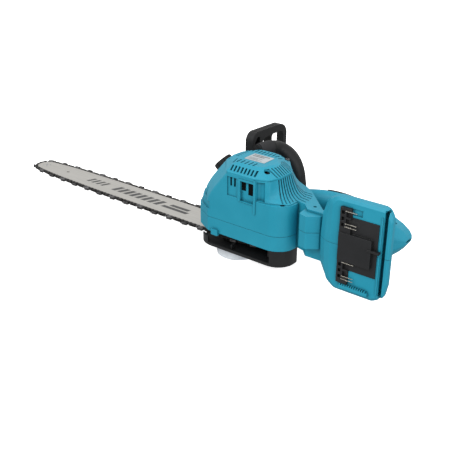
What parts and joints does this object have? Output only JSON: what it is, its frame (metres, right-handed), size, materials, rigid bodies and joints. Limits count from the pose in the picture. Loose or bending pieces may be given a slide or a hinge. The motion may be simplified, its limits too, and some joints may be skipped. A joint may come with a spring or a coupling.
{
  "type": "cordless chainsaw",
  "caption": "Cordless chainsaw with a long guide bar, top-handle hoop, tilting hand guard, rear trigger grip and a finned motor cap.",
  "frame": {"origin": "middle of the tension knob's outer face, the lowest point of the saw as it lies on its right side", "axes": "+X towards the saw's rear, along the bar's centre line; +Y towards the saw's top; +Z towards the saw's left side, which faces up"},
  "size_m": [0.7715, 0.2063, 0.1764],
  "materials": {
    "teal_plastic": "satin moulded plastic",
    "black_plastic": "fine-grained moulded plastic",
    "soft_black": "matt overmoulded rubber",
    "bar_steel": "ground and lightly brushed",
    "chain_steel": "dark, lightly oiled",
    "cutter_steel": "plated",
    "machined_steel": "machined",
    "motor_iron": "lacquered laminations",
    "copper": "enamelled wire",
    "knob_plastic": "pale grey, semi-gloss",
    "label_film": "pale film",
    "board_green": "lacquered board",
    "blade_metal": "tinned",
    "tank_plastic": "natural plastic",
    "seal_rubber": "matt"
  },
  "bodies": {
    "saw": {"housing_left": "teal_plastic", "housing_right": "teal_plastic", "motor_cap": "teal_plastic", "label_plate": "label_film", "motor_stator": "motor_iron", "motor_coils": "copper", "motor_mount": "motor_iron", "motor_bearing": "machined_steel", "guide_bar": "bar_steel", "nose_pin": "machined_steel", "nose_rivets": "machined_steel", "chain_drive_links": "chain_steel", "chain_tie_straps": "chain_steel", "chain_cutters": "cutter_steel", "sprocket_cover": "black_plastic", "bar_stud": "machined_steel", "bar_guide_stud": "machined_steel", "tension_dial": "black_plastic", "tension_pin": "machined_steel", "bar_plate": "machined_steel", "front_handle": "black_plastic", "handle_sleeve": "soft_black", "guard_pin": "machined_steel", "guard_boss": "black_plastic", "switch_box": "black_plastic", "soft_grip": "soft_black", "terminal_block": "black_plastic", "contact_blades": "blade_metal", "oil_neck": "black_plastic", "oil_tank": "tank_plastic", "control_board": "board_green", "chain_catcher": "black_plastic", "shelf_screw": "machined_steel", "cap_screw": "machined_steel", "oil_pump": "black_plastic"},
    "drive": {"sprocket_spindle": "machined_steel", "drive_gear": "machined_steel", "drive_sprocket": "machined_steel", "sprocket_clip": "machined_steel"},
    "motor": {"motor_rotor": "motor_iron", "motor_shaft": "machined_steel", "cooling_fan": "black_plastic", "motor_pinion": "machined_steel"},
    "nose_wheel": {"nose_sprocket": "machined_steel"},
    "knob": {"tension_knob": "knob_plastic", "knob_nut": "machined_steel"},
    "guard": {"hand_guard": "black_plastic"},
    "trigger_lever": {"trigger": "black_plastic"},
    "lock_button": {"lock_off_button": "black_plastic"},
    "filler_cap": {"oil_cap": "black_plastic", "oil_cap_seal": "seal_rubber"}
  },
  "joints": [
    {"name": "drive_spin", "type": "hinge", "parent": "saw", "child": "drive", "pos_m": [0.075, 0, 0.036], "axis": [0, 0, 1], "continuous": true},
    {"name": "motor_spin", "type": "hinge", "parent": "saw", "child": "motor", "pos_m": [0.035, 0, 0.115], "axis": [0, 0, 1], "continuous": true},
    {"name": "nose_spin", "type": "hinge", "parent": "saw", "child": "nose_wheel", "pos_m": [-0.4675, 0, 0.03555], "axis": [0, 0, 1], "continuous": true},
    {"name": "knob_turn", "type": "hinge", "parent": "saw", "child": "knob", "pos_m": [0, 0, 0.008], "axis": [0, 0, 1], "continuous": true},
    {"name": "guard_tilt", "type": "hinge", "parent": "saw", "child": "guard", "pos_m": [-0.014, 0.056, 0.1345], "axis": [0, 0, 1], "range_deg": [0, 14]},
    {"name": "trigger_pull", "type": "hinge", "parent": "saw", "child": "trigger_lever", "pos_m": [0.136, 0.058, 0.093], "axis": [0, 0, 1], "range_deg": [0, 11], "stiffness_Nm_per_rad": 0.4, "springref_deg": -11.46},
    {"name": "lock_press", "type": "slide", "parent": "saw", "child": "lock_button", "axis": [0, -1, 0], "range_m": [0, 0.003], "stiffness_N_per_m": 300, "springref_m": -0.003},
    {"name": "cap_turn", "type": "hinge", "parent": "saw", "child": "filler_cap", "pos_m": [-0.041, 0.024, 0.126], "axis": [-0.7035, -0.1005, 0.7035], "continuous": true}
  ],
  "couplings": [
    {"joint": "motor_spin", "follows": "drive_spin", "ratio": -4},
    {"joint": "nose_spin", "follows": "drive_spin", "ratio": 0.66667}
  ]
}
